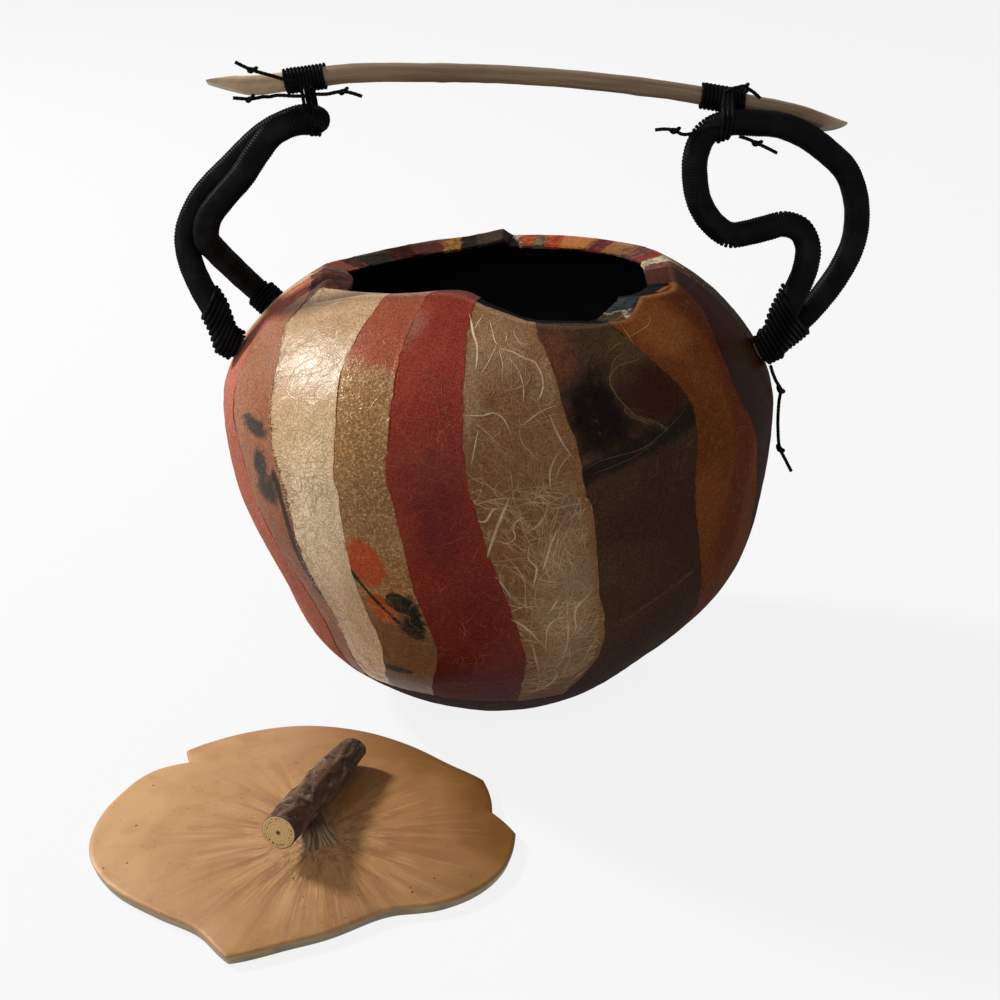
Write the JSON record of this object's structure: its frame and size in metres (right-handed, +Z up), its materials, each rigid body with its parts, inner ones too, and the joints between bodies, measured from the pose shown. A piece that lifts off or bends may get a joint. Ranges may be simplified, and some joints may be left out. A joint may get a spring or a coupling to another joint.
{
  "type": "gourd vessel",
  "caption": "Round papered gourd vessel with a jagged mouth, served vine loops at both sides, a lashed stick across the top and a stemmed lid beside it.",
  "frame": {"origin": "centre of the flat base, on the floor it stands on", "axes": "+Z up, +X to the right seen from the front, +Y towards the back"},
  "size_m": [0.3641, 0.3844, 0.3215],
  "materials": {
    "gourd_wall": "matte, blackened inside",
    "band_paper": "varnished handmade paper",
    "strip_paper": "varnished handmade paper with fibres, a colour to each strip",
    "vine": "bare",
    "cord": "black waxed twine",
    "stick_wood": "peeled pale wood, satin",
    "lid_skin": "satin gourd skin",
    "stem_bark": "weathered bark"
  },
  "bodies": {
    "vessel": {"gourd_shell": "gourd_wall", "base_paper_band": "band_paper", "paper_strip_01": "strip_paper", "paper_strip_02": "strip_paper", "paper_strip_03": "strip_paper", "paper_strip_04": "strip_paper", "paper_strip_05": "strip_paper", "paper_strip_06": "strip_paper", "paper_strip_07": "strip_paper", "paper_strip_08": "strip_paper", "paper_strip_09": "strip_paper", "paper_strip_10": "strip_paper", "paper_strip_11": "strip_paper", "paper_strip_12": "strip_paper", "paper_strip_13": "strip_paper", "paper_strip_14": "strip_paper", "paper_strip_15": "strip_paper", "paper_strip_16": "strip_paper", "paper_strip_17": "strip_paper", "paper_strip_18": "strip_paper", "left_handle_serving": "cord", "left_handle_vine": "vine", "right_handle_serving": "cord", "right_handle_vine": "vine", "stick": "stick_wood", "left_back_foot_lashing": "cord", "left_front_foot_lashing": "cord", "left_stick_lashing": "cord", "right_foot_lashing": "cord", "right_stick_lashing": "cord", "left_tail_upper": "cord", "left_tail_lower": "cord", "left_tail_inner": "cord", "left_tail_loop": "cord", "right_tail_upper": "cord", "right_tail_inner": "cord", "right_tail_outer": "cord", "right_foot_tail": "cord"},
    "lid": {"lid_shell": "lid_skin", "lid_stem": "stem_bark"}
  },
  "joints": [
    {"name": "lid_lift", "type": "slide", "parent": "vessel", "child": "lid", "axis": [-0.3498, -0.5997, 0.7197], "range_m": [0, 0.25]}
  ]
}
